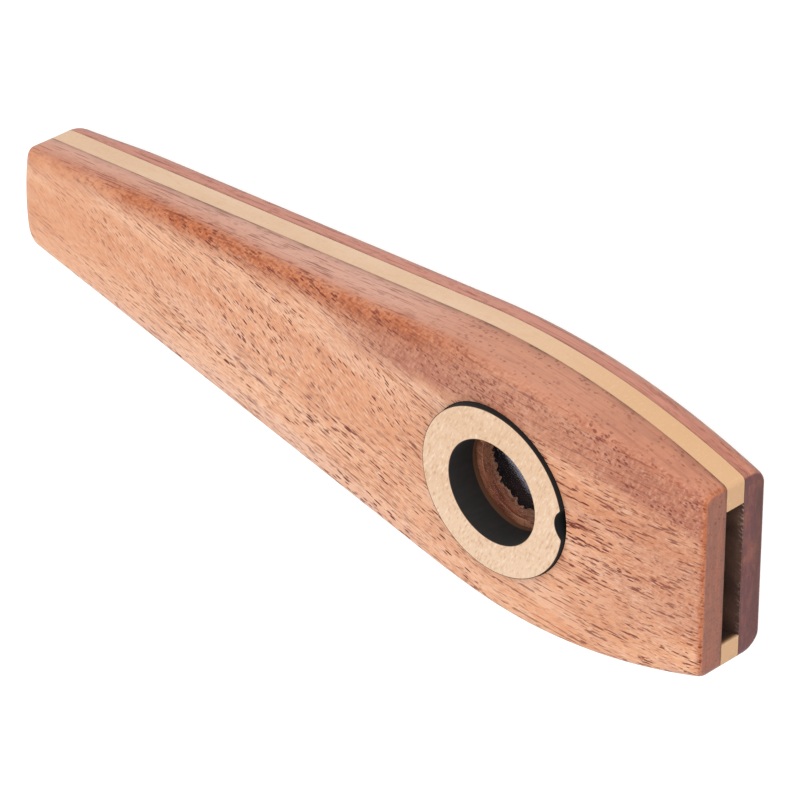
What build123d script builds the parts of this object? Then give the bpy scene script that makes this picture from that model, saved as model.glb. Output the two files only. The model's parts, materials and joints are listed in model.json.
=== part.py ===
import os

from build123d import *

os.makedirs("parts", exist_ok=True)

# A wooden kazoo, lying on its flat back with the mouth end towards +X. Two hardwood plates
# with a pair of maple rails between them make the air channel. A ring pushed into a round
# pocket in the arched front plate holds down the film that buzzes.

# Plan outline: a slightly bulged tail end, a straight taper, then a round belly to the mouth end
body_length = 122.0
tail_width = 14.0
tail_bulge = 0.65
taper_length = 78.2
taper_width = 33.9
mouth_width = 26.85
tail_corner_radius = 2.6

# Layers, from the back to the front
back_thickness = 3.6
rail_thickness = 3.0
rail_width = 3.45
front_tail_thickness = 4.55
front_crest_thickness = 6.8
front_mouth_thickness = 3.55
crest_from_tail = 87.2

# Sanded edges
front_round = 1.45
back_round = 2.4
mouth_round = 0.25

# Ring, with its seat tipped a little towards the mouth
ring_from_mouth = 32.0
ring_tilt = 2.2
ring_diameter = 23.3
ring_width = 4.5
ring_thickness = 5.0
ring_proud = 0.75
ring_clearance = 0.15
notch_radius = 2.6
notch_depth = 1.2
notch_corner = 0.6

# Film under the ring, and the step in from the ring's hole to the bore below it
film_thickness = 0.1
film_clearance = 0.25
bore_step = 0.85

# Places that follow from the sizes
tail_x = -body_length / 2
mouth_x = body_length / 2
taper_x = tail_x + taper_length
crest_x = tail_x + crest_from_tail
ring_x = mouth_x - ring_from_mouth
front_base = back_thickness + rail_thickness
ring_hole = ring_diameter - 2 * ring_width
bore_diameter = ring_hole - 2 * bore_step
pocket_diameter = ring_diameter + 2 * ring_clearance
film_diameter = pocket_diameter - 2 * film_clearance
pocket_depth = ring_thickness + film_thickness - ring_proud
channel_overrun = 2 * rail_width

# Body outline, shared by every layer
with BuildSketch() as outline:
    with BuildLine():
        taper = Line((tail_x + tail_bulge, tail_width / 2), (taper_x, taper_width / 2))
        belly = TangentArc(taper @ 1, (mouth_x, mouth_width / 2), tangent=taper % 1)
        Polyline(belly @ 1, (mouth_x, 0), (tail_x, 0))
        TangentArc((tail_x, 0), taper @ 0, tangent=(0, 1))
    make_face()
    mirror(about=Plane.XZ)
    side_corners = outline.vertices().filter_by(lambda corner: abs(corner.Y) > tail_width / 4)
    fillet(side_corners.group_by(Axis.X)[0], tail_corner_radius)

# Air channel: the outline run out past both ends and drawn in by the width of a rail
with BuildSketch() as channel:
    with BuildLine():
        tail_run = Line(taper @ (-channel_overrun / taper.length), taper @ 1)
        mouth_run = TangentArc(taper @ 1, belly @ (1 + channel_overrun / belly.length), tangent=taper % 1)
        Polyline(mouth_run @ 1, ((mouth_run @ 1).X, 0), ((tail_run @ 0).X, 0), tail_run @ 0)
    make_face()
    mirror(about=Plane.XZ)
    offset(amount=-rail_width, kind=Kind.INTERSECTION)

with BuildSketch() as rail_pair:
    add(outline.sketch)
    add(channel.sketch, mode=Mode.SUBTRACT)
right_face, left_face = rail_pair.faces().sort_by(Axis.Y)

# Back plate: flat, with its lower rim sanded round
with BuildPart() as back_plate:
    with BuildSketch():
        add(outline.sketch)
    extrude(amount=back_thickness)
    back_face = back_plate.faces().sort_by(Axis.Z)[0]
    fillet(back_face.edges().sort_by(Axis.X)[:-1], back_round)
    mouth_face = back_plate.faces().sort_by(Axis.X)[-1]
    fillet(mouth_face.edges().sort_by(Axis.Z)[:-1], mouth_round)
back_plate.part.label = "back_plate"
export_step(back_plate.part, "parts/back_plate.step")


def cut_rail(label, face):
    """One maple rail: a strip of the outline's width between the channel and the side."""
    with BuildPart() as rail:
        with BuildSketch(Plane.XY.offset(back_thickness)):
            add(face)
        extrude(amount=rail_thickness)
        mouth_edges = rail.edges().filter_by(Axis.Z).group_by(Axis.X)[-1]
        fillet(mouth_edges.sort_by(lambda edge: abs(edge.center().Y))[-1], mouth_round)
    rail.part.label = label
    export_step(rail.part, f"parts/{label}.step")


cut_rail("left_rail", left_face)
cut_rail("right_rail", right_face)

# Front plate: the outline under an arched top, with its upper rim sanded round
with BuildPart() as front_plate:
    with BuildSketch(Plane.XY.offset(front_base)):
        add(outline.sketch)
    extrude(amount=body_length)
    with BuildSketch(Plane.XZ):
        with BuildLine():
            tail_top = (tail_x, front_base + front_tail_thickness)
            crest_top = (crest_x, front_base + front_crest_thickness)
            mouth_top = (mouth_x, front_base + front_mouth_thickness)
            rise = Line(tail_top, crest_top)
            TangentArc(crest_top, mouth_top, tangent=rise % 1)
            Polyline(mouth_top, (mouth_x, front_base), (tail_x, front_base), tail_top)
        make_face()
    extrude(amount=body_length, both=True, mode=Mode.INTERSECT)
    ring_line = Axis((ring_x, 0, 0), (0, 0, 1))
    ring_point = front_plate.part.find_intersection_points(ring_line)[-1][0]
    rim_height = front_base + front_mouth_thickness / 2
    top_edges = front_plate.edges().filter_by(lambda edge: edge.bounding_box().min.Z > rim_height)
    fillet(top_edges - top_edges.filter_by(Axis.Y), front_round)
    mouth_face = front_plate.faces().sort_by(Axis.X)[-1]
    fillet(mouth_face.edges().sort_by(Axis.Z)[1:], mouth_round)

    # Pocket for the ring, and the narrower bore that leaves a ledge for the film
    seat = Plane(ring_point).rotated((0, ring_tilt, 0)).offset(-pocket_depth)
    with BuildSketch(seat):
        Circle(pocket_diameter / 2)
    extrude(amount=2 * pocket_depth, mode=Mode.SUBTRACT)
    with BuildSketch(seat):
        Circle(bore_diameter / 2)
    extrude(amount=-front_crest_thickness, mode=Mode.SUBTRACT)
front_plate.part.label = "front_plate"
export_step(front_plate.part, "parts/front_plate.step")

# Film: a thin disc lying loose on the ledge
with BuildPart() as membrane:
    with BuildSketch(seat):
        Circle(film_diameter / 2)
    extrude(amount=film_thickness)
membrane.part.label = "membrane"
export_step(membrane.part, "parts/membrane.step")

# Ring: sits on the film and stands a little proud, with a notch to pry it out by
with BuildPart() as membrane_ring:
    with BuildSketch(seat.offset(film_thickness)) as ring_sketch:
        Circle(ring_diameter / 2)
        Circle(ring_hole / 2, mode=Mode.SUBTRACT)
        with Locations((ring_diameter / 2 - notch_depth + notch_radius, 0)):
            Circle(notch_radius, mode=Mode.SUBTRACT)
        fillet(ring_sketch.vertices().sort_by(Axis.X)[-2:], notch_corner)
    extrude(amount=ring_thickness)
membrane_ring.part.label = "membrane_ring"
export_step(membrane_ring.part, "parts/membrane_ring.step")
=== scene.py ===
import json
import math

import bmesh
import bpy
import numpy as np
from mathutils import Matrix, Vector


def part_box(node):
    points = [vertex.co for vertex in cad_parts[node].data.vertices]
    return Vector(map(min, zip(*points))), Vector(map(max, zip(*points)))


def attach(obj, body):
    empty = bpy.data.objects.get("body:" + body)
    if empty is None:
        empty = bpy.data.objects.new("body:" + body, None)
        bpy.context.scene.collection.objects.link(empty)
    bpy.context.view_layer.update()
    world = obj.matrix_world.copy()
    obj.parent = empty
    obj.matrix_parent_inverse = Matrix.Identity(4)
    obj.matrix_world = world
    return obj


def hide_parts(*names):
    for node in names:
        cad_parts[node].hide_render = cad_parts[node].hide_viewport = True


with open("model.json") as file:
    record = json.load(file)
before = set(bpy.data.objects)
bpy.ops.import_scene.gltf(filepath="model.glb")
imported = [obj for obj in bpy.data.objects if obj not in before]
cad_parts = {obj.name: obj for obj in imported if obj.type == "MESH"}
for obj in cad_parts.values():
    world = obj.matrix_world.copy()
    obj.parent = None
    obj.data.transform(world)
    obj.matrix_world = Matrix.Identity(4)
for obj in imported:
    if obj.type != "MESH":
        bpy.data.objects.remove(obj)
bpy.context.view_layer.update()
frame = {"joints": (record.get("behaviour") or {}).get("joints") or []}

# Back plate: a flat slip of oiled red-brown hardwood, sawn to the kazoo's tapered outline.
# Its lower rim is sanded well round, and its upper face is glued to the two rails.
MM = 0.001
back_low, back_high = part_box("back_plate")
tail_x = back_low.x
mouth_x = back_high.x
back_top = back_high.z
tail_half = 7.0 * MM
tail_bulge = 0.65 * MM
tail_corners = (2.6 * MM, 2.6 * MM)
taper_x = tail_x + 78.2 * MM
taper_half = 16.95 * MM
mouth_half = 13.425 * MM
back_round = 2.4 * MM
worn_round = 3.5 * MM
mouth_round = 0.35 * MM
mouth_corners = (0.8 * MM, 1.4 * MM)
glue_bevel = 0.06 * MM
least_mouth_corner = 0.3 * MM
least_tail_corner = 0.8 * MM
spine_tail_gap = 6 * MM
spine_mouth_gap = 11 * MM
step_length = 0.9 * MM
step_turn = math.radians(7)
merge_gap = 0.002 * MM
sharp_turn = math.radians(38)
under_count = 9
rim_count = 11
wall_count = 3
inner_count = 12
corner_x = tail_x + tail_bulge
taper_angle = math.atan2(taper_half - tail_half, taper_x - corner_x)
chord_angle = math.atan2(mouth_half - taper_half, mouth_x - taper_x)
belly_chord = math.hypot(mouth_x - taper_x, mouth_half - taper_half)
belly_radius = belly_chord / (2 * math.sin(taper_angle - chord_angle))
belly_x = taper_x + belly_radius * math.sin(taper_angle)
belly_y = taper_half - belly_radius * math.cos(taper_angle)
bulge_radius = (tail_half ** 2 + tail_bulge ** 2) / (2 * tail_bulge)
bulge_x = tail_x + bulge_radius


def smooth_step(low, high, value):
    """Rises from 0 at low to 1 at high along the cubic 3t^2 - 2t^3."""
    t = np.clip((value - low) / (high - low), 0, 1)
    return t * t * (3 - 2 * t)


def corner_loss(gap, radius):
    """How far a rounded corner falls back, at a distance gap from the face that it meets."""
    return radius - np.sqrt(np.maximum(radius ** 2 - np.maximum(radius - gap, 0) ** 2, 0))


def arc_run(x, y, radius, start, stop, count):
    """Points on a circle about x, y: the radius times the unit vector at even angles."""
    angle = np.linspace(start, stop, count, endpoint=False)
    return np.stack([x + radius * np.cos(angle), y + radius * np.sin(angle)], axis=1)


def line_run(start, stop, count):
    """Points from start towards stop in even steps."""
    step = np.linspace(0, 1, count, endpoint=False)[:, None]
    return np.array(start) * (1 - step) + np.array(stop) * step


def half_loop(side_inset, tail_inset, mouth_inset, tail_corner, mouth_corner):
    """One half of the plan outline drawn in by an inset for the side, the tail and the mouth: from the
    middle of the straight mouth end round a sanded corner, along the belly's arc and the taper, and
    round a second corner on to the bulged tail end. Each run ends with its count of samples."""
    facing = math.pi / 2 + taper_angle
    tight = max(mouth_corner - mouth_inset, least_mouth_corner)
    pin_x = mouth_x - mouth_inset - tight
    belly = belly_radius - side_inset
    pin_y = belly_y + math.sqrt((belly - tight) ** 2 - (pin_x - belly_x) ** 2)
    turn = math.atan2(pin_y - belly_y, pin_x - belly_x)
    bulge = bulge_radius - tail_inset
    soft = max(tail_corner - max(side_inset, tail_inset), least_tail_corner)
    slope = math.tan(taper_angle)
    lift = tail_half - corner_x * slope - (side_inset + soft) / math.cos(taper_angle)
    half_b = slope * lift - bulge_x
    square = 1 + slope ** 2
    rest = bulge_x ** 2 + lift ** 2 - (bulge - soft) ** 2
    soft_x = (-half_b - math.sqrt(half_b ** 2 - square * rest)) / square
    soft_y = slope * soft_x + lift
    meet = math.atan2(soft_y, soft_x - bulge_x)
    taper_start = (belly_x + belly * math.cos(facing), belly_y + belly * math.sin(facing))
    taper_stop = (soft_x + soft * math.cos(facing), soft_y + soft * math.sin(facing))
    return np.concatenate([
        line_run((mouth_x - mouth_inset, 0), (mouth_x - mouth_inset, pin_y), 60),
        arc_run(pin_x, pin_y, tight, 0, turn, 16),
        arc_run(belly_x, belly_y, belly, turn, facing, 240),
        line_run(taper_start, taper_stop, 320),
        arc_run(soft_x, soft_y, soft, facing, meet, 60),
        arc_run(bulge_x, 0, bulge, meet, math.pi, 40),
    ])


def plan_loop(side_inset, tail_inset, mouth_inset, corners):
    """The whole outline from the middle of the mouth end round by the left side: a left half, the
    middle of the tail end, and a right half mirrored and run backwards."""
    left = half_loop(side_inset, tail_inset, mouth_inset, corners[0], mouth_corners[0])
    right = half_loop(side_inset, tail_inset, mouth_inset, corners[1], mouth_corners[1])
    return np.concatenate([left, [[tail_x + tail_inset, 0]], right[:0:-1] * [1, -1]])


def outward(loop):
    """Unit normals of a loop that runs to the left: the way along it turned a quarter to the right."""
    way = np.roll(loop, -1, axis=0) - np.roll(loop, 1, axis=0)
    return np.stack([way[:, 1], -way[:, 0]], axis=1) / np.linalg.norm(way, axis=1, keepdims=True)


def even_places(loop, extra=0):
    """Places along a loop's samples, one for each step of way, step of turn or unit of extra."""
    normals = outward(loop)
    way = np.linalg.norm(np.roll(loop, -1, axis=0) - loop, axis=1)
    turn = np.linalg.norm(np.roll(normals, -1, axis=0) - normals, axis=1)
    run = np.concatenate([[0], np.cumsum(way / step_length + turn / step_turn + extra)])
    return np.interp(np.linspace(0, run[-1], int(run[-1]), endpoint=False), run, np.arange(len(run)))


def pick(loop, places):
    """The points of a closed loop at places between its samples."""
    closed = np.concatenate([loop, loop[:1]])
    return np.stack([np.interp(places, np.arange(len(closed)), column) for column in closed.T], axis=1)


def raised(plan, height):
    """Plan points lifted to a height, which may differ from point to point."""
    return np.concatenate([plan, np.broadcast_to(height, plan.shape[:-1])[..., None]], axis=-1)


def rim_rows(places, facing, side_radius, tail_radius, height, way, corners):
    """A rim's quarter round: rows from the face, drawn in by the radius, to the wall. It drops from
    the face's height in the way given, and on the mouth end stays a flat face with a tight edge.
    Also gives the share of each point that counts as side, from 0 on the face to 1 on the wall."""
    to_tail = smooth_step(0.3, 0.95, -facing[:, 0])
    on_mouth = facing[:, 0] > 0.7
    radius = side_radius + (tail_radius - side_radius) * to_tail
    reach = np.where(on_mouth, mouth_round, radius)
    rows = []
    sides = []
    for angle in np.radians(np.linspace(0, 90, rim_count)):
        inset = 1 - math.sin(angle)
        drop = 1 - math.cos(angle)
        mouth_inset = corner_loss(side_radius * drop, mouth_round)
        loop = plan_loop(side_radius * inset, tail_radius * inset, mouth_inset, corners)
        plan = pick(loop, places)
        rows.append(raised(plan, height(plan[:, 0]) + way * radius * drop))
        sides.append(smooth_step(0, 1, radius * drop / reach))
    return np.stack(rows), np.stack(sides)


def between(first, last, shares):
    """Rows that share out the way from one row of points to another."""
    return first + (last - first) * np.asarray(shares)[:, None, None]


def spine_of(plan):
    """The nearest points of the plate's middle line, which stops short of both ends."""
    spine_x = np.clip(plan[:, 0], tail_x + spine_tail_gap, mouth_x - spine_mouth_gap)
    return np.stack([spine_x, np.zeros(len(plan))], axis=1)


def skin(name, grid, marks, wrap=False):
    """A mesh object from a grid of points, rows by columns. Columns close on themselves, and rows
    do when wrap is set. Each mark is a value for every point, kept as an attribute."""
    rows, columns = grid.shape[:2]
    index = np.arange(rows * columns).reshape(rows, columns)
    if wrap:
        index = np.concatenate([index, index[:1]])
    beside = np.roll(index, -1, axis=1)
    faces = np.stack([index[:-1], beside[:-1], beside[1:], index[1:]], axis=-1).reshape(-1, 4)
    mesh = bpy.data.meshes.new(name)
    mesh.from_pydata(grid.reshape(-1, 3), [], faces)
    for mark, value in marks.items():
        layer = mesh.attributes.new(mark, "FLOAT", "POINT")
        layer.data.foreach_set("value", np.array(np.broadcast_to(value, (rows, columns))).ravel())
    work = bmesh.new()
    work.from_mesh(mesh)
    bmesh.ops.remove_doubles(work, verts=work.verts, dist=merge_gap)
    bmesh.ops.recalc_face_normals(work, faces=work.faces)
    work.to_mesh(mesh)
    work.free()
    mesh.shade_smooth()
    mesh.set_sharp_from_angle(angle=sharp_turn)
    piece = bpy.data.objects.new(name, mesh)
    bpy.context.scene.collection.objects.link(piece)
    return piece


light_level = 2.25


def tint(red, green, blue):
    """The linear colour of a surface that looks like this 8-bit screen colour in the scene's light."""
    screen = np.array([red, green, blue]) / 255
    linear = np.where(screen > 0.04045, ((screen + 0.055) / 1.055) ** 2.4, screen / 12.92)
    return tuple(linear / light_level) + (1.0,)


class Shade:
    """A shader socket that works in sums: 1 - mask or mask * 3 adds the Math node for it."""

    def __init__(self, tree, socket=None):
        self.tree = tree
        self.socket = socket

    def node(self, kind, settings, sockets, output=0):
        """Adds any other node: its type, the settings that are set first, then its sockets."""
        made = self.tree.nodes.new(kind)
        for name, value in settings.items():
            setattr(made, name, value)
        for name, value in sockets.items():
            if isinstance(value, Shade):
                self.tree.links.new(value.socket, made.inputs[name])
            else:
                made.inputs[name].default_value = value
        return Shade(self.tree, made.outputs[output])

    def math(self, operation, first, second):
        """One Math node on two values, either of which may be a plain number."""
        return self.node("ShaderNodeMath", {"operation": operation}, {0: first, 1: second})

    def __add__(self, other):
        return self.math("ADD", self, other)

    def __radd__(self, other):
        return self.math("ADD", other, self)

    def __sub__(self, other):
        return self.math("SUBTRACT", self, other)

    def __rsub__(self, other):
        return self.math("SUBTRACT", other, self)

    def __mul__(self, other):
        return self.math("MULTIPLY", self, other)

    def __rmul__(self, other):
        return self.math("MULTIPLY", other, self)

    def mark(self, name):
        """A value that the mesh carries as an attribute."""
        return self.node("ShaderNodeAttribute", {"attribute_name": name}, {}, "Fac")

    def place(self):
        """Object coordinates in millimetres."""
        metres = self.node("ShaderNodeTexCoord", {}, {}, "Object")
        return self.node("ShaderNodeVectorMath", {"operation": "SCALE"}, {0: metres, "Scale": 1 / MM})

    def turned(self, degrees, size, shift):
        """A place turned about the vertical and divided by a size along, across and in depth."""
        spun = self.node("ShaderNodeVectorRotate", {"rotation_type": "Z_AXIS"},
                         {"Vector": self, "Angle": math.radians(degrees)})
        scale = tuple(1 / length for length in size)
        return self.node("ShaderNodeMapping", {"vector_type": "POINT"},
                         {"Vector": spun, "Scale": scale, "Location": shift})

    def step(self, low, high):
        """0 below low and 1 above high, with a smooth rise between. It falls when low is the larger."""
        return self.node("ShaderNodeMapRange", {"interpolation_type": "SMOOTHSTEP"},
                         {"Value": self, "From Min": low, "From Max": high})

    def noise(self, detail):
        """Soft noise about 0.5 at this place, with features one unit apart."""
        return self.node("ShaderNodeTexNoise", {}, {"Vector": self, "Scale": 1.0, "Detail": detail})

    def needles(self, degrees, cell, size, keep, shift):
        """Pores: one needle in each stretched cell, of uneven girth, of which a share is kept."""
        spot = self.turned(degrees, cell, shift)
        far = self.node("ShaderNodeTexVoronoi", {}, {"Vector": spot, "Scale": 1.0}, "Distance")
        lot = self.node("ShaderNodeTexVoronoi", {}, {"Vector": spot, "Scale": 1.0}, "Color")
        chance = self.node("ShaderNodeSeparateColor", {}, {"Color": lot}, 0)
        girth = self.node("ShaderNodeSeparateColor", {}, {"Color": lot}, 1)
        needle = (size * (0.5 + 0.7 * girth) - far).step(0.0, 0.12)
        return needle * chance.step(0.95 - keep, 1.05 - keep)

    def blend(self, first, second):
        """A colour between first and second, with this value as the share of the second."""
        return self.node("ShaderNodeMix", {"data_type": "RGBA"}, {0: self, 6: first, 7: second}, 2)


def finish(name):
    """A new material: its Principled shader, and a Shade to build its maths on."""
    material = bpy.data.materials.new(name)
    material.use_nodes = True
    return material, material.node_tree.nodes["Principled BSDF"], Shade(material.node_tree)


def wire(shader, links, values):
    """Links sockets of a shader to what varies over the surface, and sets the rest as numbers."""
    for name, value in links.items():
        value.tree.links.new(value.socket, shader.inputs[name])
    for name, value in values.items():
        shader.inputs[name].default_value = value


def oiled_hardwood(name, pale, mid, deep, side_tone, end_tone, shift):
    """Red-brown hardwood: drifting tones, fine fibre, and pores as short dark flecks that lean across
    the middle of the face and run straight at its edges. Long lines mark the sides, and the end grain
    is darker, with painted orange glints. Stain is a part that differs, and flush is redder along the
    upper edge towards the mouth. amber_and_edge_shade is an amber tone, partly painted shade where the
    face rolls over at its upper edge, with a darker line along the mouth edge; pale_tone_and_glow is
    paler wood with painted light along the lower edge. glue_and_rim_shade is the joint's dark line and
    painted shade on the back plate's rim, fray is torn pale fibre and inner is painted shade in the
    channel."""
    material, shader, start = finish(name)
    here = start.place()
    side = start.mark("side")
    end = start.mark("end")
    inner = start.mark("inner")
    flush = start.mark("flush")
    busy = start.mark("busy")
    waver = here.turned(14, (9, 2.4, 3), shift).noise(2.0) - 0.5
    slant = (start.mark("slant") + waver * 0.9).step(0.4, 0.6)
    lean = (start.mark("lean") + waver * 0.9).step(0.4, 0.6) * (1 - slant)
    straight = 1 - slant - lean
    patch = here.turned(16, (11, 2.6, 3), shift).noise(2.0).step(0.42, 0.58)

    def grain(degrees, stretch, keep, rows):
        """Fibre and pores of one grain direction: stretched noise, and needles with some in rows."""
        fine = here.turned(degrees, (1.0 * stretch, 0.25, 0.3), shift).noise(2.0)
        short = here.turned(degrees, (1.1 * stretch, 0.22, 0.26), shift).noise(1.0)
        row = here.turned(degrees, (20, 0.38, 0.6), shift).noise(1.0).step(0.56, 0.63)
        needle = here.needles(degrees, (1.35 * stretch, 0.33, 0.33), 0.4, keep, shift)
        plain = (1 - short.step(0.6, 0.68) * 0.45) * (1 - needle * (0.35 + 0.65 * patch))
        return fine, 1 - plain * (1 - row * short.step(0.42, 0.52) * rows)

    slant_fibre, slant_pore = grain(30, 1.0, 0.8, 0.1)
    lean_fibre, lean_pore = grain(11, 1.25, 0.75, 0.5)
    straight_fibre, straight_pore = grain(1, 1.3, 0.36, 0.9)
    fibre = slant_fibre * slant + lean_fibre * lean + straight_fibre * straight
    pore = (slant_pore * slant + lean_pore * lean + straight_pore * straight) * (0.4 + 0.6 * busy)
    pore = pore * (1 - flush * 0.5)

    drift = here.turned(8, (34, 2.6, 4), shift).noise(2.0)
    mottle = here.turned(24, (6, 2.2, 3), shift).noise(2.0)
    colour = (start.mark("heart") * 0.65 + drift.step(0.44, 0.6) * 0.52).blend(pale, mid)
    colour = (drift.step(0.47, 0.34) * 0.3 * (1 - flush)).blend(colour, tint(238, 190, 168))
    colour = (mottle.step(0.5, 0.72) * 0.22).blend(colour, deep)
    # Paler wood along the lower edge, with painted light from below
    colour = (start.mark("pale_tone_and_glow") * (0.3 + 0.6 * mottle)).blend(colour, tint(238, 194, 172))
    colour = (flush * (0.6 + 0.65 * mottle)).blend(colour, tint(186, 114, 86))
    glint = fibre.step(0.52, 0.7) * (0.2 + 0.3 * busy) * (1 - flush * 0.8)
    colour = glint.blend(colour, tint(252, 218, 192))
    colour = (fibre.step(0.47, 0.26) * (0.25 + 0.2 * busy)).blend(colour, deep)
    rays = here.turned(-62, (0.9, 0.36, 0.4), shift).noise(2.0)
    colour = (rays.step(0.53, 0.68) * flush * 0.5).blend(colour, tint(224, 166, 140))
    colour = (rays.step(0.47, 0.32) * flush * 0.6).blend(colour, tint(166, 96, 76))

    streak = here.turned(1, (30, 3.0, 0.5), shift).noise(3.0)
    side_colour = (flush * 0.85).blend(side_tone, tint(206, 140, 110))
    side_colour = (streak.step(0.48, 0.7) * 0.3).blend(side_colour, deep)
    colour = side.blend(colour, side_colour)
    grit = here.turned(0, (8, 2.2, 0.4), shift).noise(3.0)
    # Painted orange glints on the end grain
    end_glints = here.turned(0, (9, 3.5, 2.2), shift).noise(2.0)
    end_colour = (grit.step(0.4, 0.7) * 0.5).blend(end_tone, deep)
    colour = end.blend(colour, (end_glints.step(0.54, 0.72) * 0.4).blend(end_colour, tint(176, 104, 82)))
    # Amber tone, partly painted shade where the face rolls over at the upper edge, with its own rays
    # and specks
    amber_and_edge_shade = start.mark("amber_and_edge_shade")
    colour = (amber_and_edge_shade * (0.58 + 0.75 * mottle)).blend(colour, tint(194, 108, 62))
    colour = (rays.step(0.48, 0.32) * amber_and_edge_shade * 0.55).blend(colour, tint(154, 78, 46))
    colour = (rays.step(0.53, 0.68) * amber_and_edge_shade * 0.5).blend(colour, tint(222, 152, 108))

    dots = here.needles(20, (0.8, 0.5, 0.5), 0.4, 0.75, shift) * flush
    dots = dots * (1 - side * 0.4) * (0.3 + 0.7 * patch)
    specks = here.needles(6, (1.7, 0.4, 0.4), 0.44, 0.75, shift) * amber_and_edge_shade
    specks = specks * (0.3 + 0.7 * busy) * (0.45 + 0.55 * patch)
    line = here.turned(1, (18, 0.9, 0.2), shift).noise(1.0).step(0.61, 0.66)
    line = line * (1 - end) * (1 - flush * 0.6)
    clear = (1 - pore * (1 - side * 0.7)) * (1 - line * (side * 0.55 + amber_and_edge_shade * 0.3))
    dark = 1 - clear * (1 - dots * 0.8) * (1 - specks * 0.85)
    colour = dark.blend(colour, tint(116, 40, 30))

    stain = start.mark("stain")
    sap = (mottle * 0.5 + grit * 0.5).step(0.42, 0.58)
    colour = stain.blend(colour, sap.blend(tint(134, 68, 47), tint(196, 122, 90)))
    # Dark glue lines, and painted shade on the back plate's rounded rim, both patchy
    seam_patches = here.turned(0, (6, 6, 6), shift).noise(3.0).step(0.4, 0.65)
    seam_and_rim_shade = start.mark("glue_and_rim_shade") * (0.45 + 0.5 * seam_patches)
    colour = seam_and_rim_shade.blend(colour, tint(92, 60, 48))
    # Painted shade in the channel: faces marked inner get patchy dark brown tones in place of the shade
    # there
    channel_shade_patches = here.turned(0, (6, 5, 2), shift).noise(3.0)
    colour = inner.blend(colour, channel_shade_patches.step(0.35, 0.7).blend(tint(84, 55, 47), tint(116, 84, 68)))

    fray = here.turned(0, (0.7, 0.4, 0.4), shift).noise(2.0).step(0.48, 0.6) * start.mark("fray")
    colour = fray.blend(colour, tint(198, 178, 162))

    bump = start.node("ShaderNodeBump", {}, {"Strength": 0.35, "Distance": 0.05 * MM,
                                             "Height": fibre * 0.4 - dark})
    rough = 0.5 + dark * 0.25 + inner * 0.3 - fibre * 0.08
    wire(shader, {"Base Color": colour, "Roughness": rough, "Normal": bump},
         {"Specular IOR Level": 0.2})
    return material


def end_share(side, facing):
    """The share of a wall that counts as end grain: where the outline faces along the grain."""
    return side * smooth_step(0.75, 0.97, np.abs(facing[:, 0]))


def flat_height(x):
    """Height of the flat back face, which is 0 everywhere."""
    return np.zeros_like(x)


base_loop = plan_loop(0, 0, 0, tail_corners)
places = even_places(base_loop)
facing = pick(outward(base_loop), places)
wall = pick(base_loop, places)
rim, rim_side = rim_rows(places, facing, back_round, back_round, flat_height, 1, tail_corners)
worn, worn_side = rim_rows(places, facing, worn_round, worn_round, flat_height, 1, tail_corners)
wear = smooth_step(-44 * MM, -60 * MM, wall[:, 0])
rim = rim + (worn - rim) * wear[:, None]
rim_side = rim_side + (worn_side - rim_side) * wear
top_edge = raised(wall - facing * glue_bevel, back_top)
back_grid = np.concatenate([
    between(raised(spine_of(rim[0]), 0), rim[0], np.linspace(0, 0.97, under_count)),
    rim,
    between(rim[-1], raised(wall, back_top - glue_bevel), [0.4, 0.75, 1]),
    top_edge[None],
    between(top_edge, raised(spine_of(top_edge), back_top), np.linspace(0.006, 1, inner_count)),
])
edge_row = under_count + rim_count + wall_count
under_side = np.zeros((under_count, len(wall)))
wall_side = np.ones((wall_count + 1 + inner_count, len(wall)))
side = np.concatenate([under_side, rim_side, wall_side])
marks = {"side": side, "end": end_share(side, facing), "busy": 0.8}
marks["heart"] = np.exp(-(back_grid[..., 1] / (5 * MM)) ** 2) * (1 - side)
# inner marks the back plate's top face inside the channel, painted dark for the shade there
marks["inner"] = np.concatenate([np.zeros(edge_row + 1), np.ones(inner_count)])[:, None]
# Painted shade on the back plate's rounded rim, where it turns down to the floor
rim_shade = 0.6 * np.sin(np.linspace(0, math.pi, rim_count)) ** 2
darkened_rows = [np.zeros(under_count), rim_shade, [0, 0, 0.5, 0.5], np.zeros(inner_count)]
marks["glue_and_rim_shade"] = np.concatenate(darkened_rows)[:, None]
marks["stain"] = 0.4 * smooth_step(40 * MM, 60 * MM, back_grid[..., 0]) * side * (1 - marks["end"])
slot_edge = (facing[:, 0] > 0.9) * smooth_step(10.2 * MM, 9.8 * MM, np.abs(wall[:, 1]))
slot_edge = slot_edge * (0.35 + 0.65 * smooth_step(3 * MM, 8 * MM, wall[:, 1]))
fray_rows = np.concatenate([np.zeros(edge_row), [0.8, 0.6], np.zeros(inner_count - 1)])
marks["fray"] = fray_rows[:, None] * slot_edge
back_plate = skin("back_plate_wood", back_grid, marks)
back_wood = oiled_hardwood("oiled_hardwood_back", pale=tint(222, 158, 130), mid=tint(206, 136, 112),
                           deep=tint(150, 90, 76), side_tone=tint(208, 142, 122),
                           end_tone=tint(112, 66, 68), shift=(31, 7, 3))
back_plate.data.materials.append(back_wood)
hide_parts("back_plate")
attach(back_plate, "body")

# Side rails: two strips of pale maple between the plates, following the outline at an even width.
# They are the walls of the air channel, and their ends show beside the mouth slot.
rail_low, rail_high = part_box("left_rail")
rail_width = 3.45 * MM
rail_bevel = 0.05 * MM
rail_spine_tail_gap = 1.8 * MM
rail_spine_mouth_gap = 1.75 * MM


def half_width(x, inset=0.0):
    """Half width of the outline drawn in by inset: the straight taper, then the belly's arc."""
    line = tail_half + (x - corner_x) * math.tan(taper_angle) - inset / math.cos(taper_angle)
    arc = belly_y + np.sqrt(np.maximum((belly_radius - inset) ** 2 - (x - belly_x) ** 2, 0))
    return np.where(x < taper_x - inset * math.sin(taper_angle), line, arc)


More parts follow.
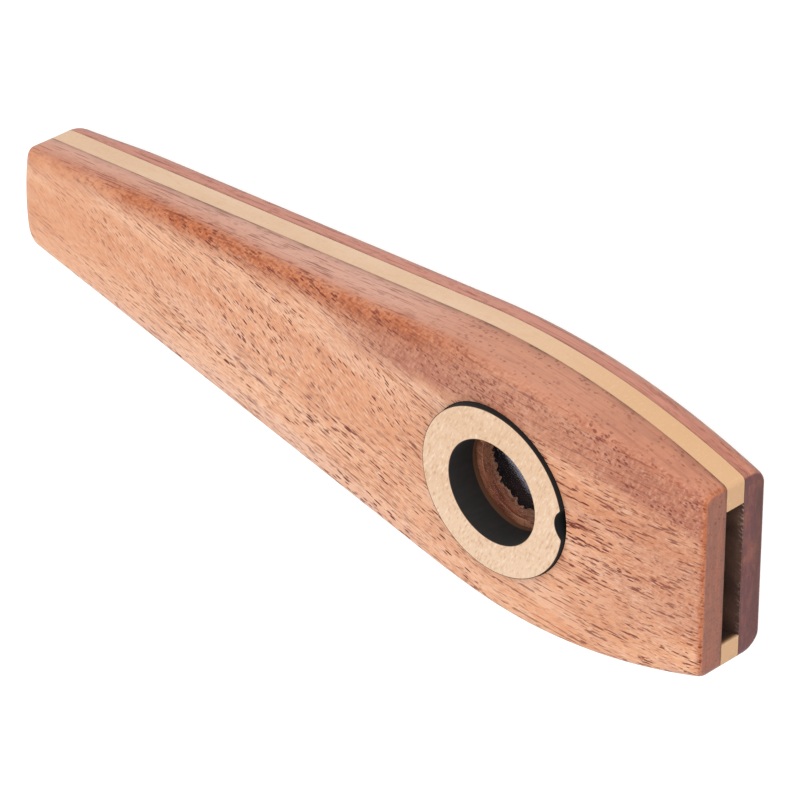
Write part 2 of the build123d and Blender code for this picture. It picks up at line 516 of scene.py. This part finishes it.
def rail_loop(tail_corner, mouth_corner):
    """The left rail's plan: the outline from the mouth end round to the tail end, then back along the
    same line drawn in by the rail's width. Also gives 1 for each point on the way back."""
    tail_end = tail_x
    for _ in range(4):
        tail_end = bulge_x - math.sqrt(bulge_radius ** 2 - half_width(tail_end, rail_width) ** 2)
    half = half_loop(0, 0, 0, tail_corner, mouth_corner)
    plain = half_loop(0, 0, 0, tail_corners[0], mouth_corner)
    outer = half[plain[:, 1] > half_width(plain[:, 0], rail_width)]
    back_x = np.linspace(tail_end, mouth_x, 240)
    back = np.stack([back_x, half_width(back_x, rail_width)], axis=1)
    return np.concatenate([outer, back]), np.concatenate([np.zeros(len(outer)), np.ones(len(back))])


def sanded_maple(name, pale, mid, flake, shift):
    """Pale maple: cream with faint long streaks and small ray flecks, tan where it is marked, and dark
    where char_and_channel_shade marks it, from brown through soot to coal black: laser char on the
    ring, and painted shade on the rails' channel walls."""
    material, shader, start = finish(name)
    here = start.place()
    char_and_channel_shade = start.mark("char_and_channel_shade")
    glow = here.turned(0, (24, 5, 4), shift).noise(3.0)
    streak = here.turned(8, (9, 0.5, 0.5), shift).noise(2.0)
    rays = here.turned(-65, (0.9, 0.28, 0.4), shift).noise(2.0)
    colour = glow.step(0.35, 0.68).blend(pale, mid)
    colour = (start.mark("tan") * 0.9).blend(colour, tint(222, 174, 126))
    colour = (streak.step(0.52, 0.75) * 0.4).blend(colour, tint(220, 178, 138))
    colour = (rays.step(0.55, 0.75) * flake).blend(colour, tint(248, 222, 196))
    colour = (rays.step(0.47, 0.27) * flake).blend(colour, tint(212, 168, 132))
    colour = char_and_channel_shade.step(0.02, 0.5).blend(colour, tint(120, 78, 52))
    # Soot black: the ring's laser char, and painted shade on the rails' channel walls
    soot_and_shade = here.turned(0, (0.5, 0.5, 3), shift).noise(2.0).blend(tint(24, 22, 22), tint(44, 38, 36))
    colour = char_and_channel_shade.step(0.4, 0.95).blend(colour, soot_and_shade)
    colour = char_and_channel_shade.step(1.0, 1.4).blend(colour, tint(12, 9, 9))
    bump = start.node("ShaderNodeBump", {}, {"Strength": 0.2, "Distance": 0.03 * MM,
                                             "Height": streak + rays})
    rough = 0.5 + char_and_channel_shade * 0.3 + streak * 0.06
    wire(shader, {"Base Color": colour, "Roughness": rough, "Normal": bump},
         {"Specular IOR Level": 0.3})
    return material


for rail_name, hand, top_corner in (("left_rail", 0, 2.2 * MM), ("right_rail", 1, 3.0 * MM)):
    loop, way_back = rail_loop(tail_corners[hand], mouth_corners[hand])
    top_loop = rail_loop(top_corner, mouth_corners[hand])[0]
    places = even_places(loop)
    facing = pick(outward(loop), places)
    wall = pick(loop, places)
    top_wall = pick(top_loop, places)
    inside = pick(way_back[:, None], places)[:, 0]
    spine_x = np.clip(wall[:, 0], tail_x + rail_spine_tail_gap, mouth_x - rail_spine_mouth_gap)
    spine = np.stack([spine_x, half_width(spine_x, rail_width / 2)], axis=1)
    edge = wall - facing * rail_bevel
    top_edge = top_wall - facing * rail_bevel
    edge[:, 0] = np.minimum(edge[:, 0], mouth_x)
    top_edge[:, 0] = np.minimum(top_edge[:, 0], mouth_x)
    rail_grid = np.stack([
        raised(spine, rail_low.z),
        raised(edge, rail_low.z),
        raised(wall, rail_low.z + rail_bevel),
        raised(top_wall, rail_high.z - rail_bevel),
        raised(top_edge, rail_high.z),
        raised(spine, rail_high.z),
    ])
    # The rails' inner faces, the channel's walls, are painted dark for the shade in the channel, clean
    # at the mouth end
    marks = {"char_and_channel_shade": 0.8 * inside * smooth_step(0.1 * MM, 0.9 * MM, mouth_x - wall[:, 0])}
    marks["tan"] = smooth_step(8 * MM, 52 * MM, wall[:, 0])
    rail = skin(rail_name + "_maple", rail_grid * [1, 1 - 2 * hand, 1], marks)
    rail_wood = sanded_maple("sanded_maple_" + rail_name, pale=tint(234, 198, 166),
                             mid=tint(228, 190, 154), flake=0.2, shift=(13 - 26 * hand, 4, 9))
    rail.data.materials.append(rail_wood)
    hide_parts(rail_name)
    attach(rail, "body")

# Front plate: the thick arched plate of red-brown hardwood, glued on the rails, crowned under the ring
# and thinner at both ends. A round pocket is bored in its crown, with a narrower bore below it that is
# torn where the drill broke through.
front_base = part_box("front_plate")[0].z
tail_top = front_base + 4.55 * MM
crest_top = front_base + 6.8 * MM
mouth_top = front_base + 3.55 * MM
crest_x = tail_x + 87.2 * MM
front_round = 1.45 * MM
tail_round = 2.3 * MM
rim_corners = (1.7 * MM, 3.3 * MM)
foot_corners = (2.2 * MM, 3.0 * MM)
rise_angle = math.atan2(crest_top - tail_top, crest_x - tail_x)
fall_angle = math.atan2(mouth_top - crest_top, mouth_x - crest_x)
crown_chord = math.hypot(mouth_x - crest_x, mouth_top - crest_top)
crown_radius = crown_chord / (2 * math.sin(rise_angle - fall_angle))
crown_x = crest_x + crown_radius * math.sin(rise_angle)
crown_z = crest_top - crown_radius * math.cos(rise_angle)
film_thickness = 0.1 * MM
film_low, film_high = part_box("membrane")
lift_axis = np.array(frame["joints"][0]["axis"])
seat = np.array((film_low + film_high) / 2) - lift_axis * film_thickness / 2
along = np.array([lift_axis[2], 0, -lift_axis[0]])
across = np.array([0, 1, 0])
pocket_radius = 11.73 * MM
bore_radius = 6.3 * MM
hole_bevel = 0.05 * MM
tear_depth = 0.9 * MM
tear_reach = 0.5 * MM
tear_burr = 0.1 * MM
sound_wood = 1.0 * MM
face_turn = math.radians(1.6)
face_shares = np.linspace(0, 1, 56) ** 1.15


def front_height(x):
    """Height of the arched face: the straight rise from the tail, then the crown's arc."""
    line = tail_top + (x - tail_x) * math.tan(rise_angle)
    arc = crown_z + np.sqrt(crown_radius ** 2 - (x - crown_x) ** 2)
    return np.where(x < crest_x, line, arc)


def hole_row(angle, radius, height):
    """A circle about the pocket's axis: the seat, a height along the axis and a radius round it."""
    spoke = np.cos(angle)[:, None] * along + np.sin(angle)[:, None] * across
    reach = np.broadcast_to(radius, angle.shape)[:, None]
    return seat + spoke * reach + np.broadcast_to(height, angle.shape)[:, None] * lift_axis


def hole_rim(angle, radius):
    """Where a hole of this radius comes out of the arched face, found by a few steps up its axis."""
    height = np.zeros(len(angle))
    for _ in range(5):
        point = hole_row(angle, radius, height)
        height = height + front_height(point[:, 0]) - point[:, 2]
    return point


seen_angle = np.unwrap(np.arctan2(base_loop[:, 1], base_loop[:, 0] - seat[0]))
seen_step = np.abs(np.diff(seen_angle, append=seen_angle[0] + 2 * math.pi))
places = even_places(base_loop, seen_step / face_turn)
facing = pick(outward(base_loop), places)
wall = pick(base_loop, places)
rim, rim_side = rim_rows(places, facing, front_round, tail_round, front_height, -1, rim_corners)
angle = np.arctan2(rim[0, :, 1], rim[0, :, 0] - seat[0])
dice = np.random.default_rng(5)
torn = np.zeros(len(wall))
for wave in range(9, 64, 3):
    torn = torn + np.sin(wave * angle + dice.uniform(0, 2 * math.pi)) / math.sqrt(wave)
torn = np.clip(0.5 + 0.45 * torn, 0, 1)
bore_depth = (seat[2] - front_base) / lift_axis[2]
foot_height = tear_depth * torn + 0.1 * MM - bore_depth
bore_foot = hole_row(angle, bore_radius - tear_burr * torn, foot_height)
bore_top = hole_row(angle, bore_radius, -hole_bevel)
ledge_in = hole_row(angle, bore_radius + hole_bevel, 0)
ledge_out = hole_row(angle, pocket_radius, 0)
pocket_top = hole_rim(angle, pocket_radius) - lift_axis * hole_bevel
pocket_mouth = hole_rim(angle, pocket_radius + hole_bevel)
face_plan = between(pocket_mouth[:, :2], rim[0, :, :2], face_shares)
foot_plan = pick(plan_loop(0, 0, 0, foot_corners), places)
wall_foot = raised(foot_plan, front_base + glue_bevel)
foot = raised(foot_plan - facing * glue_bevel, front_base)
under_edge = hole_row(angle, bore_radius + sound_wood, -bore_depth)
under_edge[:, 2] = front_base
torn_height = 0.6 * tear_depth * torn + 0.05 * MM - bore_depth
torn_edge = hole_row(angle, bore_radius + tear_reach * torn, torn_height)
front_rows = [
    between(bore_foot, bore_top, np.linspace(0, 1, 9)),
    between(ledge_in, ledge_out, np.linspace(0, 0.98, 5)),
    between(ledge_out, pocket_top, np.linspace(0, 1, 6)),
    raised(face_plan, front_height(face_plan[..., 0])),
    rim[1:],
    between(rim[-1], wall_foot, [0.15, 0.4, 0.65, 0.9, 1]),
    foot[None],
    between(foot, under_edge, np.linspace(0.008, 1, 14)),
    torn_edge[None],
]
front_grid = np.concatenate(front_rows)
row_count = len(front_grid)
hole_count = sum(len(rows) for rows in front_rows[:3])
face_count = sum(len(rows) for rows in front_rows[:4])
foot_count = sum(len(rows) for rows in front_rows[:7])
face_side = np.zeros((face_count, len(wall)))
wall_side = np.ones((row_count - face_count - rim_count + 1, len(wall)))
side = np.concatenate([face_side, rim_side[1:], wall_side])
marks = {"side": side, "end": end_share(side, facing)}
# inner marks the front plate's underside over the channel and its torn edge, painted dark for the shade
# there
inner_rows = [np.zeros(foot_count), np.ones(row_count - foot_count - 1), [0.3]]
marks["inner"] = np.concatenate(inner_rows)[:, None]
darkened_rows = [np.zeros(foot_count - 3), [0.3, 1, 1], np.zeros(row_count - foot_count)]
marks["glue_and_rim_shade"] = np.concatenate(darkened_rows)[:, None]

# Zones of the wood's figure: way_x is in millimetres from the plate's middle towards the mouth, share_y
# in half widths towards the left side, and inset in millimetres from the nearer side
way_x = front_grid[..., 0] / MM
bare_right = np.exp(-((angle + 1.3) / 0.5) ** 2)
bare_tail = np.exp(-((np.abs(angle) - math.pi) / 0.5) ** 2)
stain_rows = [[0.1, 0.3, 0.7], np.ones(hole_count - 3), np.zeros(row_count - hole_count)]
hole_stain = np.concatenate(stain_rows)[:, None] * (1 - (0.5 * bare_right + 0.3 * bare_tail))
mouth_stain = 0.38 * smooth_step(36, 56, way_x) * side * (1 - marks["end"])
marks["stain"] = np.maximum(hole_stain, mouth_stain)
share_y = front_grid[..., 1] / half_width(front_grid[..., 0])
inset = (half_width(front_grid[..., 0]) - np.abs(front_grid[..., 1])) / MM
upper = smooth_step(0, 0.2, share_y)
face = 1 - side
marks["slant"] = np.exp(-((share_y - 0.16) / 0.45) ** 2) * (1 - smooth_step(2, 26, way_x)) * face
marks["lean"] = (1 - smooth_step(12, 42, way_x + 16 * smooth_step(0.3, 0.8, share_y))) * face
# An amber band along the upper edge, partly painted shade where the face rolls over; it moves in from
# the edge towards the ring
fall = np.clip((front_height(front_grid[..., 0]) - front_grid[..., 2]) / MM - 1, 0, None)
band = -0.1 + 1.5 * smooth_step(-50, 6, way_x)
marks["amber_and_edge_shade"] = np.exp(-((inset - fall - band) / 1.8) ** 2) * upper * (1 - smooth_step(10, 30, way_x))
marks["amber_and_edge_shade"] = marks["amber_and_edge_shade"] * (0.5 + 0.5 * smooth_step(-56, -34, way_x))
marks["busy"] = smooth_step(-64, -18, way_x)
for spot_x, spot_y, reach_x, reach_y, crowd in (
        (-12, -0.25, 9, 0.6, 0.4),
        (8, -0.2, 9, 0.4, 0.12),
        (48, 0, 11, 0.3, 0.3),
        (38, -0.8, 9, 0.35, -0.6)):
    near = np.exp(-((way_x - spot_x) / reach_x) ** 2 - ((share_y - spot_y) / reach_y) ** 2)
    marks["busy"] = marks["busy"] + crowd * near
# A paler band along the lower edge: partly paler wood, partly painted light from below
marks["pale_tone_and_glow"] = (1 - upper) * smooth_step(5, 0.5, inset) * (1 - marks["end"])
marks["pale_tone_and_glow"] = marks["pale_tone_and_glow"] * smooth_step(-62, -36, way_x) * (1 - smooth_step(4, 26, way_x))
marks["heart"] = np.exp(-((share_y - 0.05) / 0.38) ** 2) * (1 - smooth_step(14, 34, way_x)) * face
marks["heart"] = marks["heart"] + 0.6 * smooth_step(26, 46, way_x) * face
marks["flush"] = upper * smooth_step(9.5, 5.5, inset) * smooth_step(-6, 14, way_x - 10 * side)
faded = 0.18 * face * smooth_step(16, 28, way_x) * smooth_step(54, 40, way_x)
marks["flush"] = marks["flush"] * (1 - faded)
waist = smooth_step(-0.8, -0.3, share_y) * face
marks["flush"] = np.maximum(marks["flush"], 0.5 * smooth_step(38, 58, way_x) * waist)
# A darker orange line along the mouth edge, in the same mark
lip = np.exp(-((mouth_x / MM - way_x) / 0.55) ** 2) * (1 - marks["end"])
marks["amber_and_edge_shade"] = np.maximum(marks["amber_and_edge_shade"], lip)
for spot_x, spot_y, reach_x, reach_y, warmth in ((45, 0.27, 9, 0.16, 0.3), (48, -0.66, 7, 0.2, 0.25)):
    near = np.exp(-((way_x - spot_x) / reach_x) ** 2 - ((share_y - spot_y) / reach_y) ** 2)
    marks["amber_and_edge_shade"] = marks["amber_and_edge_shade"] + warmth * near * face
front_plate = skin("front_plate_wood", front_grid, marks, wrap=True)
front_wood = oiled_hardwood("oiled_hardwood_front", pale=tint(246, 189, 150), mid=tint(232, 162, 119),
                            deep=tint(192, 114, 84), side_tone=tint(219, 167, 145),
                            end_tone=tint(154, 101, 84), shift=(0, 0, 0))
front_plate.data.materials.append(front_wood)
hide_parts("front_plate")
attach(front_plate, "body")

# Membrane: a disc of thin clear film that lies loose on the ledge and buzzes when someone hums.
# It is slightly slack and shows a painted sheen: a glint band over the bore, paler where the ring sits
# on it and at its cut edge.
film_radius = 11.55 * MM
slack = 0.06 * MM
film_turn = np.linspace(0, 2 * math.pi, 96, endpoint=False)
film_shares = np.linspace(0, 1, 24)


def film_rows(shares, height):
    """A disc about the pocket's axis, radius in shares, sagging over the bore as a wrinkled dish."""
    radius = shares[:, None] * film_radius
    dish = (1 - np.clip(radius / bore_radius, 0, 1) ** 2) ** 2
    wrinkle = 0.5 + 0.5 * np.sin(3 * film_turn + 1.2) * np.sin(5 * shares[:, None])
    level = height - slack * dish * wrinkle
    return np.stack([hole_row(film_turn, radius[row], level[row]) for row in range(len(shares))])


film_grid = np.concatenate([film_rows(film_shares, film_thickness), film_rows(film_shares[::-1], 0)])
# Painted sheen: a glint band across the film, and a paler outer annulus and cut edge, all raised in
# alpha
glint_way = np.cos(film_turn - 0.85) * film_shares[:, None] * film_radius
sheen = smooth_step(-0.8 * MM, 1.6 * MM, glint_way) * smooth_step(4.8 * MM, 1.8 * MM, glint_way)
outer_annulus = smooth_step(7.3 * MM, 8.3 * MM, film_shares * film_radius)
cut_edge = smooth_step(0.97, 1, film_shares)
sheen = np.maximum(sheen, (0.3 * outer_annulus + 0.3 * cut_edge)[:, None])
film = skin("membrane_film", film_grid, {"sheen": np.concatenate([sheen, sheen[::-1]])})
# The film's pale bluish colour shows only as the painted sheen, where the sheen mark raises its alpha
clear_film, shader, start = finish("clear_film")
haze = start.place().turned(0, (3, 3, 3), (0, 0, 0)).noise(2.0)
wire(shader, {"Alpha": 0.01 + start.mark("sheen") * haze * 1.1, "Roughness": 0.06 + haze * 0.08},
     {"Base Color": tint(200, 200, 226), "Specular IOR Level": 0.4})
film.data.materials.append(clear_film)
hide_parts("membrane")
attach(film, "film")

# Membrane ring: a ring cut from maple by laser, so its walls are charred black and its top is clean.
# It is pushed into the pocket on top of the film, and a notch in its rim lets a nail pry it out.
ring_radius = 11.65 * MM
ring_hole = 7.15 * MM
ring_thickness = 5.0 * MM
notch_radius = 2.6 * MM
notch_depth = 1.2 * MM
notch_ease = 0.3 * MM
notch_turn = math.radians(3.5)
ring_bevel = 0.05 * MM
ring_scorch = 0.75 * MM
ring_turn = np.linspace(0, 2 * math.pi, 720, endpoint=False)


def ring_outline(angle):
    """Outer radius by angle: the full circle, or the near side of the notch's circle where that
    is smaller, with the two eased into each other."""
    notch_at = ring_radius - notch_depth + notch_radius
    bend = notch_radius ** 2 - (notch_at * np.sin(angle)) ** 2
    near = notch_at * np.cos(angle) - np.sqrt(np.maximum(bend, 0))
    past = np.abs(notch_at * np.sin(angle)) - notch_radius
    near = np.where(bend > 0, near, ring_radius + notch_ease + np.abs(past))
    near = np.where(np.cos(angle) > 0, near, 2 * ring_radius)
    gap = np.clip(0.5 + 0.5 * (near - ring_radius) / notch_ease, 0, 1)
    return near + (ring_radius - near) * gap - notch_ease * gap * (1 - gap)


outer = ring_outline(ring_turn - notch_turn)
inner = np.full(len(ring_turn), ring_hole)
inset = 0.35 * (outer - inner)

# The dark line on the top edge widens towards one side, towards -x and -y
dark_line_side = 0.5 - 0.5 * np.cos(ring_turn - 0.9)
edge_dark_line = 0.3 + 0.72 * dark_line_side
clean_radius = outer - (1.8 + 1.6 * dark_line_side) * ring_bevel

# Each point of the profile: radius, height, and how dark it is, from 0, clean, to 1.4, coal black:
# charred on the walls, with a dark line on the top edge
profile = [
    (outer - ring_bevel, 0, 1),
    (outer, ring_bevel, 1.4),
    (outer, ring_thickness / 2, 1.4),
    (outer, ring_thickness - 2 * ring_bevel, 1.4),
    (outer, ring_thickness - ring_bevel, 1.2),
    (outer - ring_bevel, ring_thickness, edge_dark_line),
    (clean_radius, ring_thickness, 0),
    (outer - inset, ring_thickness, 0),
    (inner + inset, ring_thickness, 0),
    (inner + 2 * ring_bevel, ring_thickness, 0),
    (inner + ring_bevel, ring_thickness, 0.6),
    (inner, ring_thickness - ring_bevel, 0.95),
    (inner, ring_thickness - 2 * ring_bevel, 1),
    (inner, ring_scorch + ring_bevel, 1),
    (inner, ring_scorch - ring_bevel, 0.5),
    (inner, ring_bevel, 0.5),
    (inner + ring_bevel, 0, 0.6),
]
ring_rows = [hole_row(ring_turn, radius, film_thickness + height) for radius, height, char_and_channel_shade in profile]
ring_grid = np.stack(ring_rows)
ring_char = np.stack([np.broadcast_to(char_and_channel_shade, ring_turn.shape) for radius, height, char_and_channel_shade in profile])
ring = skin("membrane_ring_maple", ring_grid, {"char_and_channel_shade": ring_char}, wrap=True)
ring_wood = sanded_maple("sanded_maple_ring", pale=tint(238, 204, 172), mid=tint(231, 194, 158),
                         flake=0.95, shift=(5, 21, 2))
ring.data.materials.append(ring_wood)
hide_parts("membrane_ring")
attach(ring, "ring")

# Stage: a pale light table under the kazoo's flat back, lit from all round as in a light tent, with one
# broad lamp over the front face and one beside the camera. The camera stands off the mouth end, with
# the left side up in the picture.
floor_reach = 6.0
floor_corners = [
    (-floor_reach, -floor_reach, 0),
    (floor_reach, -floor_reach, 0),
    (floor_reach, floor_reach, 0),
    (-floor_reach, floor_reach, 0),
]
floor_mesh = bpy.data.meshes.new("floor")
floor_mesh.from_pydata(floor_corners, [], [(0, 1, 2, 3)])
floor = bpy.data.objects.new("floor", floor_mesh)
bpy.context.scene.collection.objects.link(floor)
pale_floor, shader, start = finish("pale_floor")
wire(shader, {}, {"Base Color": (0.3, 0.3, 0.3, 1), "Roughness": 0.9, "Specular IOR Level": 0.1,
                  "Emission Color": (1, 1, 1, 1), "Emission Strength": 0.75})
floor_mesh.materials.append(pale_floor)

tent = bpy.data.worlds.new("light_tent")
tent.use_nodes = True
glow = tent.node_tree.nodes["Background"]
glow.inputs["Color"].default_value = (1.0, 0.99, 0.98, 1)
glow.inputs["Strength"].default_value = 1.75
bpy.context.scene.world = tent


def lamp(name, spot, aim, size, power):
    """A square soft lamp that stands at spot and faces aim."""
    light = bpy.data.lights.new(name, "AREA")
    light.size = size
    light.energy = power
    holder = bpy.data.objects.new(name, light)
    holder.location = spot
    holder.rotation_euler = (Vector(aim) - Vector(spot)).to_track_quat("-Z", "Y").to_euler()
    bpy.context.scene.collection.objects.link(holder)


lamp("front_lamp", (-0.15, -0.1, 0.8), (0, 0, 0), 0.7, 1.5)
lamp("side_lamp", (0.44, 0.72, 0.25), (0, 0, 0), 0.8, 9.2)

camera_spot = Vector((0.52721, 0.50283, 0.51653))
camera_aim = Vector((0.00378, -0.00318, 0.00520))
picture_up = Vector((0, 1, 0.0075))
look = (camera_aim - camera_spot).normalized()
right = look.cross(picture_up).normalized()
lens = bpy.data.cameras.new("photo_camera")
lens.lens = 320.47
lens.sensor_width = 36
camera = bpy.data.objects.new("photo_camera", lens)
facing_picture = Matrix((right, right.cross(look), -look)).transposed().to_4x4()
camera.matrix_world = Matrix.Translation(camera_spot) @ facing_picture
bpy.context.scene.collection.objects.link(camera)
bpy.context.scene.camera = camera
bpy.context.scene.view_settings.view_transform = "Standard"
